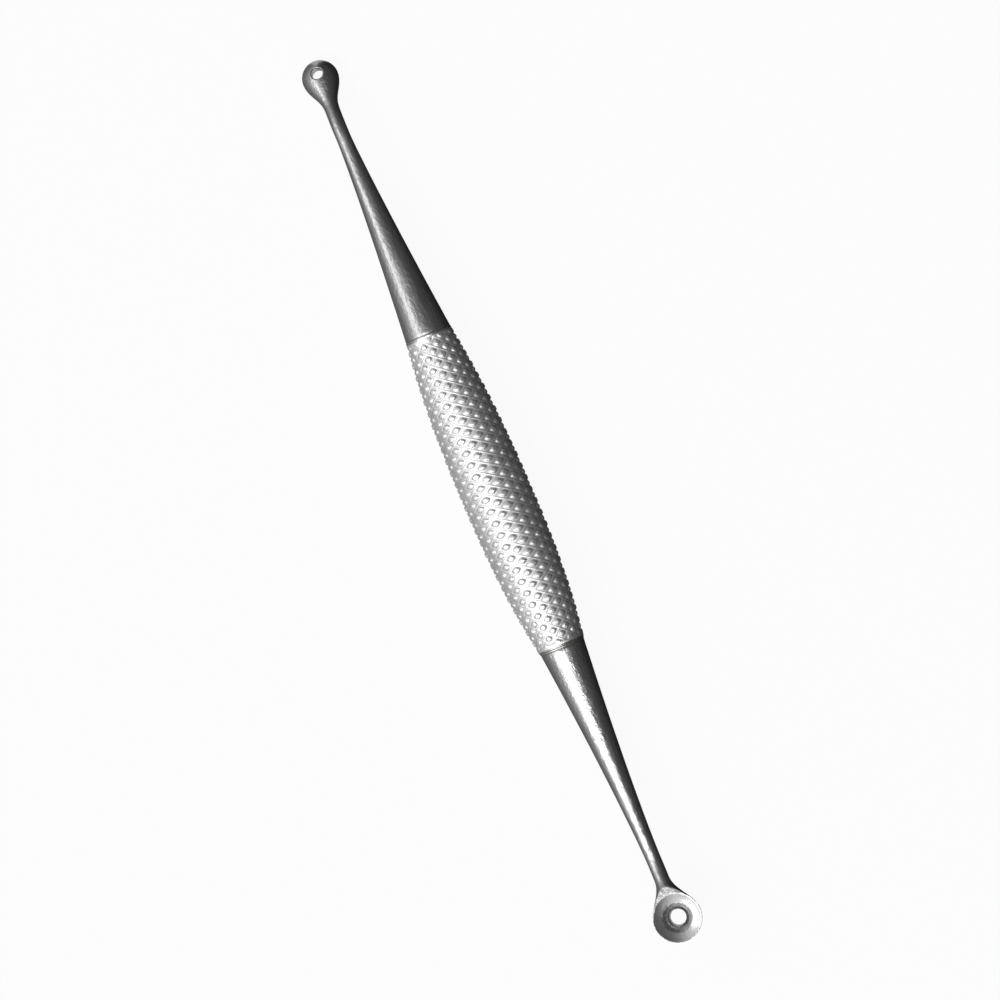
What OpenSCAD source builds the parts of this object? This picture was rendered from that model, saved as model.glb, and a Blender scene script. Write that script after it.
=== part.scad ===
// Double-ended blackhead extractor. A hollow knurled grip carries a tapered shank at each end,
// and each shank ends in a round dished spoon with a hole through it.
// Sizes are in millimetres. The tool lies along X on the plane Z = 0. The small spoon points
// to -X and opens downwards, and the large spoon points to +X and opens upwards.

/* [Grip sleeve] */
// Length of the sleeve between its end faces
sleeve_l = 48.9; // [42:0.1:60]
// Widest diameter, over the flats of the studs
sleeve_d = 10.4; // [9.6:0.1:13]
// Distance of the widest place from the small end face
widest_x = 26.3; // [20:0.1:30]
// Diameter at the small end face
sleeve_small_d = 7.2; // [6.6:0.1:8.4]
// Diameter at the large end face
sleeve_large_d = 7.2; // [6.6:0.1:8.4]
// Barrel curve: 2 is an even arc, and more keeps the middle straighter
barrel_curve = 2.45; // [2:0.05:3]
// Wall of the hollow middle, under the studs
sleeve_wall = 1.2; // [0.8:0.1:1.6]
// Bore in each end for the spigot of a shank
spigot_bore_d = 4; // [3:0.1:4.6]
// Depth of that bore
spigot_bore_l = 7; // [5:0.5:9]
// Plain collar between the studs and the small end face
small_collar_l = 0.4; // [0.3:0.1:1.5]
// Plain collar between the studs and the large end face
large_collar_l = 0.5; // [0.3:0.1:3]

/* [Knurl] */
// Distance from stud to stud along the grip
stud_pitch = 1.86; // [1.6:0.02:2.6]
// Number of studs around the grip in one row
studs_around = 11; // [8:1:12]
// Height of a stud above the floor between the studs
stud_h = 0.28; // [0.15:0.01:0.4]
// Foot of a stud, as a share of the diamond that it stands in
stud_foot = 0.72; // [0.6:0.02:0.8]
// Flat top of a stud, as a share of that diamond
stud_top = 0.46; // [0.3:0.02:0.54]

/* [Brazed joints] */
// Thickness of the ring of braze at the small end
small_ring_t = 0.45; // [0.3:0.05:0.8]
// Thickness of the ring of braze at the large end
large_ring_t = 0.6; // [0.3:0.05:0.8]
// Gap around a spigot that the braze fills
braze_gap = 0.05; // [0.02:0.01:0.1]
// Edge broken at the joints
edge_break = 0.12; // [0.05:0.01:0.2]

/* [Small end] */
// Length of the small shank between its braze ring and its weld
small_shank_l = 31; // [24:0.5:40]
// Diameter of the small shank at the grip
small_shank_d = 7; // [6.2:0.1:8]
// Diameter of the neck of the small spoon
small_neck_d = 2.2; // [1.8:0.1:2.8]
// Hollowness of the small shank: 1 is a straight cone
small_taper = 1.26; // [1:0.02:1.8]
// Diameter of the small spoon
small_head_d = 5.44; // [4.6:0.02:6.4]
// Length of the shoulder between the neck and the middle of the small spoon
small_shoulder_l = 6.2; // [5:0.1:8]
// Slimness of that shoulder
small_shoulder_curve = 3.4; // [2.2:0.1:4]
// Angle of the bend in the small neck
small_bend = 25; // [12:1:30]
// Radius of that bend
small_bend_r = 10; // [6:0.5:16]
// Angle by which the small dish leans out, away from its neck
small_dish_lean = 8; // [4:1:12]
// Height of the rim above the middle of the small spoon
small_rim_h = 0.6; // [0.3:0.05:0.9]
// Width of the rim's flat land
small_land = 0.15; // [0.1:0.01:0.4]
// Depth of the small dish below its rim
small_dish_h = 0.7; // [0.5:0.05:1.2]
// Diameter of the hole through the small spoon
small_hole_d = 1.7; // [1.2:0.1:2.2]

/* [Large end] */
// Length of the large shank between its braze ring and its weld
large_shank_l = 33.7; // [28:0.1:44]
// Diameter of the large shank at the grip
large_shank_d = 6.8; // [6.2:0.1:8]
// Diameter of the neck of the large spoon
large_neck_d = 2.24; // [1.8:0.02:2.8]
// Hollowness of the large shank: 1 is a straight cone
large_taper = 1.42; // [1:0.02:1.8]
// Diameter of the large spoon
large_head_d = 7.24; // [6.4:0.02:8.4]
// Length of the shoulder between the neck and the middle of the large spoon
large_shoulder_l = 6.45; // [5.6:0.05:8]
// Slimness of that shoulder
large_shoulder_curve = 2.6; // [1.8:0.05:3]
// Angle of the bend in the large neck
large_bend = 14; // [10:1:20]
// Radius of that bend
large_bend_r = 12; // [10:0.5:24]
// Angle by which the large dish leans out, away from its neck
large_dish_lean = 12; // [6:1:16]
// Height of the rim above the middle of the large spoon
large_rim_h = 0.4; // [0.3:0.05:1.2]
// Width of the rim's flat land
large_land = 0.15; // [0.1:0.01:0.5]
// Depth of the large dish below its rim
large_dish_h = 0.95; // [0.7:0.05:1.6]
// Diameter of the hole through the large spoon
large_hole_d = 2.4; // [1.8:0.1:3]

/* [Both spoons] */
// Width of the funnel that leads from a dish into its hole
funnel_w = 0.7; // [0.3:0.05:0.8]
// Width of the broken edge around each hole at the back
hole_lip = 0.15; // [0.08:0.01:0.25]

/* [Hidden] */
$fn = 96;

STEEL = [0.80, 0.81, 0.82];
KNURLED_STEEL = [0.72, 0.73, 0.74];
BRAZE = [0.86, 0.84, 0.76];

// Steps along the curves that functions work out
BARREL_STEPS = 14;
TAPER_STEPS = 22;
HEAD_STEPS = 14;
// What a cutter stands past the face that it cuts
PAST = 1;
// How far the studded middle reaches into each collar
KNURL_BURY = 0.25;
// Length of the cone between a spigot bore and the hollow middle
CAVITY_LEAD = 1.5;
// Air between a spigot's end and the end of its bore
SPIGOT_END_GAP = 0.5;
SPIGOT_CHAMFER = 0.4;

// How far a spoon's tip lies past its weld, seen from above
function spoon_reach(head_d, shoulder_l, bend, bend_r) =
    bend_r * sin(bend) + shoulder_l * cos(bend) + head_d / 2;

// How far a bent neck carries the middle of its spoon off the tool's axis
function spoon_drop(shoulder_l, bend, bend_r) =
    bend_r * (1 - cos(bend)) + shoulder_l * sin(bend);

// Outer radius of the rim
function rim_r(head_d, rim_h) = sqrt(pow(head_d / 2, 2) - pow(rim_h, 2));

small_end_l = small_ring_t + small_shank_l
    + spoon_reach(small_head_d, small_shoulder_l, small_bend, small_bend_r);
large_end_l = large_ring_t + large_shank_l
    + spoon_reach(large_head_d, large_shoulder_l, large_bend, large_bend_r);
total_l = small_end_l + sleeve_l + large_end_l;

small_face_x = small_end_l - total_l / 2;
large_face_x = small_face_x + sleeve_l;

// The tool lies on its grip, or on a spoon where that reaches lower
small_rim_tilt = small_bend - small_dish_lean;
small_rim_low = small_rim_h * cos(small_rim_tilt)
    + rim_r(small_head_d, small_rim_h) * sin(small_rim_tilt);
small_low = spoon_drop(small_shoulder_l, small_bend, small_bend_r) + small_rim_low;
large_low = large_head_d / 2 - spoon_drop(large_shoulder_l, large_bend, large_bend_r);
axis_z = max(sleeve_d / 2, small_low, large_low);

spigot_d = spigot_bore_d - 2 * braze_gap;
spigot_l = spigot_bore_l - SPIGOT_END_GAP;

// Radius over the studs at a distance x from the small end face
function outline_r(x) =
    let (
        end_d = x < widest_x ? sleeve_small_d : sleeve_large_d,
        side_l = x < widest_x ? widest_x : sleeve_l - widest_x
    )
    sleeve_d / 2 - (sleeve_d - end_d) / 2 * pow(abs(x - widest_x) / side_l, barrel_curve);

knurl_x = small_collar_l;
knurl_l = sleeve_l - small_collar_l - large_collar_l;
rows = round(knurl_l / stud_pitch);
pitch = knurl_l / rows;
cols = 2 * studs_around;
col_angle = 360 / cols;
stud_count = studs_around * (2 * rows - 1);

// Studs stand in columns along the grip. Every second column is moved by half a pitch, and has
// one stud less. A stud has eight corners: 0 to 3 at its foot and 4 to 7 at its top.
function stud_x(i, j) = knurl_x + (j + (i % 2 == 0 ? 0.5 : 1)) * pitch;
function col(i) = (i + cols) % cols;
function corner(i, j, k) =
    let (c = col(i))
    8 * (floor(c / 2) * (2 * rows - 1) + (c % 2) * rows + j) + k;
function on_sleeve(x, a, r) = [x, r * cos(a), r * sin(a)];
function floor_r(x) = outline_r(x) - stud_h;
function col_a(i) = -90 + i * col_angle;

// The foot of a stud follows the round floor
function foot(x, a) =
    let (dx = stud_foot * pitch / 2, da = stud_foot * col_angle)
    [
        on_sleeve(x, a + da, floor_r(x)),
        on_sleeve(x + dx, a, floor_r(x + dx)),
        on_sleeve(x, a - da, floor_r(x)),
        on_sleeve(x - dx, a, floor_r(x - dx)),
    ];

// The top of a stud is one flat face, so its side corners stand a little further out
function top(x, a) =
    let (
        dx = stud_top * pitch / 2,
        da = stud_top * col_angle,
        side_r = (outline_r(x - dx) + outline_r(x + dx)) / 2 / cos(da)
    )
    [
        on_sleeve(x, a + da, side_r),
        on_sleeve(x + dx, a, outline_r(x + dx)),
        on_sleeve(x, a - da, side_r),
        on_sleeve(x - dx, a, outline_r(x - dx)),
    ];

function stud_faces(i, j) =
    let (v = [for (k = [0 : 7]) corner(i, j, k)])
    [
        [v[4], v[7], v[6], v[5]],
        [v[7], v[4], v[0], v[3]],
        [v[6], v[7], v[3], v[2]],
        [v[5], v[6], v[2], v[1]],
        [v[4], v[5], v[1], v[0]],
    ];

// Floor between stud i, j and its neighbour ahead, and between it and its neighbour behind
function ahead_strip(i, j, nj) =
    [corner(i, j, 0), corner(i, j, 1), corner(i + 1, nj, 2), corner(i + 1, nj, 3)];
function behind_strip(i, j, nj) =
    [corner(i, j, 3), corner(i, j, 0), corner(i + 1, nj, 1), corner(i + 1, nj, 2)];

// Floor where four studs meet
function crossing(i, j) =
    let (nj = i % 2 == 0 ? j : j + 1)
    [corner(i, j, 1), corner(i - 1, nj, 0), corner(i, j + 1, 3), corner(i + 1, nj, 2)];

// Floor between the last studs and the end rings
function front_fan(i, ring) =
    let (
        last = rows - 1,
        edge = [
            ring + col(i + 1),
            corner(i + 1, last, 1),
            corner(i + 1, last, 2),
            corner(i, last - 1, 1),
            corner(i - 1, last, 0),
            corner(i - 1, last, 1),
            ring + col(i - 1),
        ]
    )
    [for (k = [0 : 5]) [ring + i, edge[k], edge[k + 1]]];
function back_fan(i, ring) =
    let (
        edge = [
            ring + col(i - 1),
            corner(i - 1, 0, 3),
            corner(i - 1, 0, 0),
            corner(i, 0, 3),
            corner(i + 1, 0, 2),
            corner(i + 1, 0, 3),
            ring + col(i + 1),
        ]
    )
    [for (k = [0 : 5]) [ring + i, edge[k], edge[k + 1]]];

module studded_barrel() {
    back_ring = 8 * stud_count;
    front_ring = back_ring + cols;
    back_x = knurl_x - KNURL_BURY;
    front_x = knurl_x + knurl_l + KNURL_BURY;
    points = concat(
        [
            for (i = [0 : cols - 1], j = [0 : rows - 1 - i % 2])
                each concat(foot(stud_x(i, j), col_a(i)), top(stud_x(i, j), col_a(i)))
        ],
        [for (i = [0 : cols - 1]) on_sleeve(back_x, col_a(i), floor_r(back_x))],
        [for (i = [0 : cols - 1]) on_sleeve(front_x, col_a(i), floor_r(front_x))]
    );
    faces = concat(
        [for (i = [0 : cols - 1], j = [0 : rows - 1 - i % 2]) each stud_faces(i, j)],
        [for (i = [0 : 2 : cols - 1], j = [0 : rows - 2]) ahead_strip(i, j, j)],
        [for (i = [0 : 2 : cols - 1], j = [1 : rows - 1]) behind_strip(i, j, j - 1)],
        [for (i = [1 : 2 : cols - 1], j = [0 : rows - 2]) ahead_strip(i, j, j + 1)],
        [for (i = [1 : 2 : cols - 1], j = [0 : rows - 2]) behind_strip(i, j, j)],
        [for (i = [0 : cols - 1], j = [0 : rows - 2 - i % 2]) crossing(i, j)],
        [for (i = [1 : 2 : cols - 1]) each front_fan(i, front_ring)],
        [for (i = [1 : 2 : cols - 1]) each back_fan(i, back_ring)],
        [[for (i = [0 : cols - 1]) back_ring + i]],
        [[for (i = [cols - 1 : -1 : 0]) front_ring + i]]
    );
    polyhedron(points = points, faces = faces, convexity = 10);
}

// Turns a profile of [radius, x] points about the tool's axis
module turned(profile) {
    rotate([0, 90, 0]) rotate_extrude() polygon(profile);
}

module small_collar() {
    turned([
        [0, 0],
        [outline_r(0) - edge_break, 0],
        [outline_r(edge_break), edge_break],
        [outline_r(small_collar_l), small_collar_l],
        [0, small_collar_l],
    ]);
}

module large_collar() {
    steps = 4;
    start = sleeve_l - large_collar_l;
    run = large_collar_l - edge_break;
    curve = [
        for (k = [0 : steps])
            let (x = start + run * k / steps)
            [outline_r(x), x]
    ];
    turned(concat([[0, start]], curve, [[outline_r(sleeve_l) - edge_break, sleeve_l], [0, sleeve_l]]));
}

// The hollow middle follows the outside, and each end narrows to the bore for a spigot
module sleeve_hollow() {
    start = spigot_bore_l + CAVITY_LEAD;
    run = sleeve_l - 2 * start;
    curve = [
        for (k = [0 : BARREL_STEPS])
            let (x = start + run * k / BARREL_STEPS)
            [outline_r(x) - stud_h - sleeve_wall, x]
    ];
    bore_r = spigot_bore_d / 2;
    turned(concat(
        [[0, -PAST], [bore_r, -PAST], [bore_r, spigot_bore_l]],
        curve,
        [[bore_r, sleeve_l - spigot_bore_l], [bore_r, sleeve_l + PAST], [0, sleeve_l + PAST]]
    ));
}

// The pieces of an end are made with the sleeve's end face at x = 0 and the spoon opening up
module braze_ring(t, sleeve_end_d, shank_d) {
    outer_r = (sleeve_end_d + shank_d) / 4;
    turned([
        [spigot_bore_d / 2, 0],
        [outer_r - edge_break, 0],
        [outer_r, edge_break],
        [outer_r, t - edge_break],
        [outer_r - edge_break, t],
        [spigot_bore_d / 2, t],
    ]);
}

module shank(ring_t, l, base_d, neck_d, taper) {
    curve = [
        for (k = [0 : TAPER_STEPS])
            let (left = (l - edge_break) * (1 - k / TAPER_STEPS))
            [neck_d / 2 + (base_d - neck_d) / 2 * pow(left / l, taper), ring_t + l - left]
    ];
    turned(concat(
        [
            [0, -spigot_l],
            [spigot_d / 2 - SPIGOT_CHAMFER, -spigot_l],
            [spigot_d / 2, SPIGOT_CHAMFER - spigot_l],
            [spigot_d / 2, ring_t],
            [curve[0][0] - edge_break, ring_t],
        ],
        curve,
        [[0, ring_t + l]]
    ));
}

// A round head on its shoulder, with the neck at x = 0
module head_blank(head_d, neck_d, shoulder_l, shoulder_curve) {
    shoulder = [
        for (k = [0 : HEAD_STEPS])
            let (u = 1 - k / HEAD_STEPS)
            [
                neck_d / 2 + (head_d - neck_d) / 2 * pow(1 - u * u, shoulder_curve),
                shoulder_l * (1 - u),
            ]
    ];
    dome = [
        for (k = [1 : HEAD_STEPS])
            let (a = 90 * k / HEAD_STEPS)
            [head_d / 2 * cos(a), shoulder_l + head_d / 2 * sin(a)]
    ];
    turned(concat([[0, 0]], shoulder, dome));
}

// Clears the top of the head, and of the shoulder beside it, down to the rim
module rim_cutter(head_d, rim_h) {
    translate([0, 0, rim_h]) cylinder(h = head_d, r = head_d);
}

// The dish, the funnel, the hole and its broken edge at the back, about the middle of the head
module dish_cutter(head_d, rim_h, land, dish_h, hole_d) {
    mouth_r = rim_r(head_d, rim_h) - land;
    ball_r = (mouth_r * mouth_r + dish_h * dish_h) / (2 * dish_h);
    ball_z = rim_h - dish_h + ball_r;
    funnel_r = hole_d / 2 + funnel_w;
    funnel_z = ball_z - sqrt(ball_r * ball_r - funnel_r * funnel_r);
    lip_r = hole_d / 2 + hole_lip;
    lip_z = -sqrt(head_d * head_d / 4 - lip_r * lip_r);
    translate([0, 0, ball_z]) sphere(r = ball_r);
    translate([0, 0, -head_d]) cylinder(h = head_d, d = hole_d);
    translate([0, 0, funnel_z - funnel_w])
        cylinder(h = 2 * funnel_w, r1 = hole_d / 2, r2 = funnel_r + funnel_w);
    translate([0, 0, lip_z - hole_lip])
        cylinder(h = 2 * hole_lip, r1 = lip_r + hole_lip, r2 = hole_d / 2);
}

// A spoon from its weld at x = 0. It is made about the head's own axis, with the bent neck
// running back from the head, and then turned up by the bend. The dish leans out from there,
// so the neck joins the spoon below the rim.
module spoon(
    head_d, neck_d, shoulder_l, shoulder_curve, bend, bend_r,
    dish_lean, rim_h, land, dish_h, hole_d
) {
    translate([bend_r * sin(bend), 0, bend_r * (1 - cos(bend))]) rotate([0, -bend, 0]) {
        translate([0, 0, bend_r]) rotate([-90, 0, 0]) rotate([0, 0, 90])
            rotate_extrude(angle = bend) translate([bend_r, 0]) circle(d = neck_d);
        difference() {
            head_blank(head_d, neck_d, shoulder_l, shoulder_curve);
            translate([shoulder_l, 0, 0]) rotate([0, dish_lean, 0]) {
                rim_cutter(head_d, rim_h);
                dish_cutter(head_d, rim_h, land, dish_h, hole_d);
            }
        }
    }
}

// Places what is made from a sleeve end at x = 0, towards +X
module at_small_end() {
    translate([small_face_x, 0, axis_z]) rotate([0, 180, 0]) children();
}
module at_large_end() {
    translate([large_face_x, 0, axis_z]) children();
}

module grip_sleeve() {
    color(KNURLED_STEEL) translate([small_face_x, 0, axis_z])
        difference() {
            union() {
                studded_barrel();
                small_collar();
                large_collar();
            }
            sleeve_hollow();
        }
}

module small_end_braze_ring() {
    color(BRAZE) at_small_end() braze_ring(small_ring_t, sleeve_small_d, small_shank_d);
}

module large_end_braze_ring() {
    color(BRAZE) at_large_end() braze_ring(large_ring_t, sleeve_large_d, large_shank_d);
}

module small_shank() {
    color(STEEL) at_small_end()
        shank(small_ring_t, small_shank_l, small_shank_d, small_neck_d, small_taper);
}

module large_shank() {
    color(STEEL) at_large_end()
        shank(large_ring_t, large_shank_l, large_shank_d, large_neck_d, large_taper);
}

module small_spoon() {
    color(STEEL) at_small_end() translate([small_ring_t + small_shank_l, 0, 0])
        spoon(
            small_head_d, small_neck_d, small_shoulder_l, small_shoulder_curve,
            small_bend, small_bend_r, small_dish_lean, small_rim_h, small_land, small_dish_h,
            small_hole_d
        );
}

module large_spoon() {
    color(STEEL) at_large_end() translate([large_ring_t + large_shank_l, 0, 0])
        spoon(
            large_head_d, large_neck_d, large_shoulder_l, large_shoulder_curve,
            large_bend, large_bend_r, large_dish_lean, large_rim_h, large_land, large_dish_h,
            large_hole_d
        );
}

grip_sleeve();
small_end_braze_ring();
large_end_braze_ring();
small_shank();
large_shank();
small_spoon();
large_spoon();
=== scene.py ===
# %% [markdown]
# A double-ended blackhead extractor, dressed for its portrait. The real tool is steel all over:
# a barrel grip with rolled diamond knurling, two turned and polished shanks brazed into its ends,
# and two round spoons with a hole through each. The solids that carry the sizes are loaded first,
# and every piece here is built around them, at the same place and in metres.

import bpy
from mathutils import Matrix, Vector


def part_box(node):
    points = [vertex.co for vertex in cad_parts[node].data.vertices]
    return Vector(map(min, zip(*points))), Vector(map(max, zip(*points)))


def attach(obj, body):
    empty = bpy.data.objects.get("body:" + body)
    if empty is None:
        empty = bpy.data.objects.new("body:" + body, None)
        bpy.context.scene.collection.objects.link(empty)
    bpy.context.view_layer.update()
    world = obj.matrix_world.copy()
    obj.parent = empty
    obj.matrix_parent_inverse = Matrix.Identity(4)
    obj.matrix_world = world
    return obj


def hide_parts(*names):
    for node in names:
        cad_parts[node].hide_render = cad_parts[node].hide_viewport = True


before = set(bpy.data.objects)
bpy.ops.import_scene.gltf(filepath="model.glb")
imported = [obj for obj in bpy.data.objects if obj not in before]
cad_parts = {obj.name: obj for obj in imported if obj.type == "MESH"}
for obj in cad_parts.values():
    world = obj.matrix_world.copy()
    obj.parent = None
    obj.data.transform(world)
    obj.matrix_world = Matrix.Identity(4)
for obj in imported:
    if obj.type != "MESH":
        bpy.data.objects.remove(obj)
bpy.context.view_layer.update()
print("solids:", sorted(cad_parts))

# %% Tools of the trade
import math
from types import SimpleNamespace

import bmesh
import bpy
import numpy as np
from mathutils import Matrix, Vector

MM = 0.001
ROOT_BODY = "root"

# %% [markdown]
# Every length below is either read from the solids or written once as a real size. The grip's
# end faces and axis come from its solid. The curve of the barrel, the pitch of the knurl and the
# bends of the necks can't be read from a box, so they are named here.

# %% Places read from the solids
sleeve_low, sleeve_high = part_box("grip_sleeve")
SMALL_FACE_X = sleeve_low.x
LARGE_FACE_X = sleeve_high.x
SLEEVE_L = LARGE_FACE_X - SMALL_FACE_X
SLEEVE_D = sleeve_high.z - sleeve_low.z
AXIS_Z = (sleeve_low.z + sleeve_high.z) / 2
print(f"sleeve {SLEEVE_L / MM:.2f} mm long, {SLEEVE_D / MM:.2f} mm over the studs")

# %% [markdown]
# The grip is a barrel, turned from tube and then rolled between two knurling wheels. Its outline
# could be a spline through a few points. A power of the distance from the widest place needs
# fewer sizes, and its two sides meet there without a kink. The solid's outline follows the same
# formula, so the mesh lies where the solid does.

# %% The barrel's outline
WIDEST_X = 26.3 * MM
SLEEVE_END_D = 7.2 * MM
BARREL_CURVE = 2.45


def outline_r(x):
    """Radius over the studs, x metres from the small end face."""
    side_l = np.where(x < WIDEST_X, WIDEST_X, SLEEVE_L - WIDEST_X)
    share = np.abs(x - WIDEST_X) / side_l
    return SLEEVE_D / 2 - (SLEEVE_D - SLEEVE_END_D) / 2 * share**BARREL_CURVE


print("radius at the ends and the middle:", outline_r(np.array([0, WIDEST_X, SLEEVE_L])) / MM)

# %% [markdown]
# The knurl could be a bump map, but in raking light each stud throws a bright and a dark side,
# and its outline shows at the edge of the grip, so it has to be real geometry. A plain grid would
# cut across the studs and leave them ragged. Here each stud has its own cell: rings that follow
# the stud's foot, slope and top, out to a diamond whose sides it shares with its neighbours. The
# metal that the knurling wheels push aside stands up as a thin ridge along those sides.

# %% The knurl's pattern
SMALL_COLLAR_L = 0.4 * MM
LARGE_COLLAR_L = 0.5 * MM
STUD_ROWS = 26
STUDS_AROUND = 11
STUD_H = 0.23 * MM
# Shares of the way from a stud's middle out to the sides of its cell
STUD_TOP = 0.3
STUD_FOOT = 0.74
RIDGE_FOOT = 0.86
# The ridge's height as a share of the stud's
RIDGE_SHARE = 0.16
# 2 makes a stud round, and more makes it squarer
STUD_SQUARENESS = 3.2
# The length over which the studs fade out at a collar
RUN_OUT = 0.2 * MM

knurl_x = SMALL_COLLAR_L
knurl_l = SLEEVE_L - SMALL_COLLAR_L - LARGE_COLLAR_L
pitch = knurl_l / STUD_ROWS
columns = 2 * STUDS_AROUND
col_angle = 2 * math.pi / columns
FIRST_COLUMN = -math.pi / 2
print(f"{columns} columns of studs, {pitch / MM:.3f} mm apart along the grip")


def smooth_step(t):
    t = np.clip(t, 0, 1)
    return t * t * (3 - 2 * t)


# %% One height for every point of the grip
HEIGHT_SPREAD = 0.12
TOP_TILT = 0.25
HIGHEST_STUD = 1.06
DRAWS = 64
SEED = 11
rng = np.random.default_rng(SEED)
stud_lift = rng.normal(0, HEIGHT_SPREAD, (DRAWS, DRAWS))
stud_lean = rng.normal(0, TOP_TILT, (DRAWS, DRAWS, 2))
print(f"studs rise up to {HIGHEST_STUD * STUD_H / MM:.3f} mm above the knurl's floor")


def stud_share(p, q):
    """Distance from a stud's middle: 0 there and 1 on the sides of its cell."""
    power = STUD_SQUARENESS
    return 2 * (np.abs(p) ** power + np.abs(q) ** power) ** (1 / power)


def stud_height(x, a):
    """Height of the surface between the floor, 0, and the outline, 1."""
    along = (x - knurl_x) / (pitch / 2) - 1
    around = (a - FIRST_COLUMN) / col_angle
    p = (along + around) / 2
    q = (along - around) / 2
    row, col = np.round(p).astype(int), np.round(q).astype(int)
    p, q = p - row, q - col
    stud = smooth_step((STUD_FOOT - stud_share(p, q)) / (STUD_FOOT - STUD_TOP))
    side = 2 * np.maximum(np.abs(p), np.abs(q))
    ridge = RIDGE_SHARE * smooth_step((side - RIDGE_FOOT) / (1 - RIDGE_FOOT))
    lean = stud_lean[row % DRAWS, col % DRAWS]
    uneven = 1 + stud_lift[row % DRAWS, col % DRAWS] + lean[..., 0] * p + lean[..., 1] * q
    inside = smooth_step((x - knurl_x) / RUN_OUT + 0.5)
    inside = inside * smooth_step((knurl_x + knurl_l - x) / RUN_OUT + 0.5)
    return 1 - (1 - np.minimum(stud * uneven, HIGHEST_STUD) - ridge) * inside


# %% One cell of the knurl
# Where a cell's rings lie, from its sides in to its middle, and the points on each side
RING_SHARES = (1.0, 0.95, 0.9, 0.85, 0.78, 0.71, 0.64, 0.57, 0.5, 0.42, 0.34, 0.18)
SIDE_POINTS = 4


def cell_rings():
    """Rings of (p, q) points from the diamond's sides in to the stud's middle."""
    steps = np.arange(SIDE_POINTS) / SIDE_POINTS - 0.5
    half = np.full(SIDE_POINTS, 0.5)
    sides = [(half, steps), (-steps, half), (-half, -steps), (steps, -half)]
    square = np.concatenate([np.stack(side, 1) for side in sides])
    rounding = stud_share(square[:, 0], square[:, 1])[:, None]
    rings = []
    for share in RING_SHARES:
        round_ring = square * share / rounding
        squareness = smooth_step((share - STUD_FOOT) / (1 - STUD_FOOT))
        rings.append(round_ring + (square * share - round_ring) * squareness)
    return np.array(rings)


def cell_faces(first, rings_n, around_n):
    """Faces of the cell whose vertices start at first: bands between its rings, then a fan."""
    faces = []
    last = first + (rings_n - 1) * around_n
    for outer in range(first, last, around_n):
        inner = outer + around_n
        for k in range(around_n):
            n = (k + 1) % around_n
            faces.append((outer + k, outer + n, inner + n, inner + k))
    middle = last + around_n
    return faces + [(last + k, last + (k + 1) % around_n, middle) for k in range(around_n)]


print(f"{len(RING_SHARES) * 4 * SIDE_POINTS + 1} vertices in each cell")


# %% All cells, laid out flat
def flat_knurl():
    """Vertices as (x, angle) and faces of all cells, with their shared sides still double."""
    rings = cell_rings()
    p, q = rings.reshape(-1, 2).T
    verts, faces = [], []
    for i in range(columns):
        stagger = 0.5 if i % 2 == 0 else 1.0
        for j in range(-1, STUD_ROWS + 1):
            x = knurl_x + (j + stagger) * pitch
            a = FIRST_COLUMN + i * col_angle
            faces += cell_faces(len(verts) * (len(p) + 1), *rings.shape[:2])
            flat = np.stack([x + (p + q) * pitch / 2, a + (p - q) * col_angle], 1)
            verts.append(np.concatenate([flat, [[x, a]]]))
    return np.concatenate(verts), faces


flat_verts, flat_faces = flat_knurl()
print(f"knurl laid flat: {len(flat_verts)} vertices, {len(flat_faces)} faces")

# %% [markdown]
# The flat sheet is cut off square at the collars and then wrapped round the barrel. The end loops
# are drawn on from there: along the collar, over its broken edge, in across the end face and down
# the bore that takes the shank's spigot. That closes the grip into one clean skin.

# %% Helpers for closed skins
WELD_DISTANCE = 0.002 * MM
# Edges shorter than this are dissolved
SLIVER = WELD_DISTANCE / 4
# An edge this near to a plane lies in it
NEAR = 0.1 * MM
# Edges that fold by more than this are shaded as sharp
SHARP = math.radians(48)


def new_object(name, mesh):
    piece = bpy.data.objects.new(name, mesh)
    bpy.context.scene.collection.objects.link(piece)
    return piece


def cut_off(bm, at, facing):
    """Cuts a mesh in the plane through at, and drops the side that facing points to."""
    everything = bm.verts[:] + bm.edges[:] + bm.faces[:]
    bmesh.ops.bisect_plane(bm, geom=everything, plane_co=at, plane_no=facing, clear_outer=True)


def draw_loop_on(bm, edges, profile):
    """Extends an open loop about the tool's axis through (x, radius) stations and closes it."""
    for x, radius in profile:
        made = bmesh.ops.extrude_edge_only(bm, edges=edges)["geom"]
        edges = [g for g in made if isinstance(g, bmesh.types.BMEdge)]
        for vert in {v for edge in edges for v in edge.verts}:
            a = math.atan2(vert.co.z, vert.co.y)
            vert.co = (x, radius * math.cos(a), radius * math.sin(a))
    bmesh.ops.contextual_create(bm, geom=edges)


def boundary_near(bm, x):
    """The open edges that lie in the plane at x."""
    return [e for e in bm.edges if e.is_boundary and all(abs(v.co.x - x) < NEAR for v in e.verts)]


def finish_skin(bm, name, place):
    """Turns a bmesh made about the X axis into a smooth piece at its place."""
    bmesh.ops.recalc_face_normals(bm, faces=bm.faces)
    for face in bm.faces:
        face.smooth = True
    for edge in bm.edges:
        if edge.is_manifold and edge.calc_face_angle() > SHARP:
            edge.smooth = False
    mesh = bpy.data.meshes.new(name)
    bm.to_mesh(mesh)
    bm.free()
    mesh.transform(place)
    return new_object(name, mesh)


def report_skin(piece):
    """Prints the faces of a skin, and how many of its edges don't have two faces."""
    mesh = piece.data
    sides = np.empty(len(mesh.loops), int)
    mesh.loops.foreach_get("edge_index", sides)
    not_closed = int((np.bincount(sides, minlength=len(mesh.edges)) != 2).sum())
    print(f"{piece.name}: {len(mesh.polygons)} faces, {not_closed} edges not closed")


# %% The ends of the grip
BORE_R = 2.0 * MM
BORE_L = 7.0 * MM
EDGE_BREAK = 0.08 * MM
COLLAR_STATIONS = 7


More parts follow.
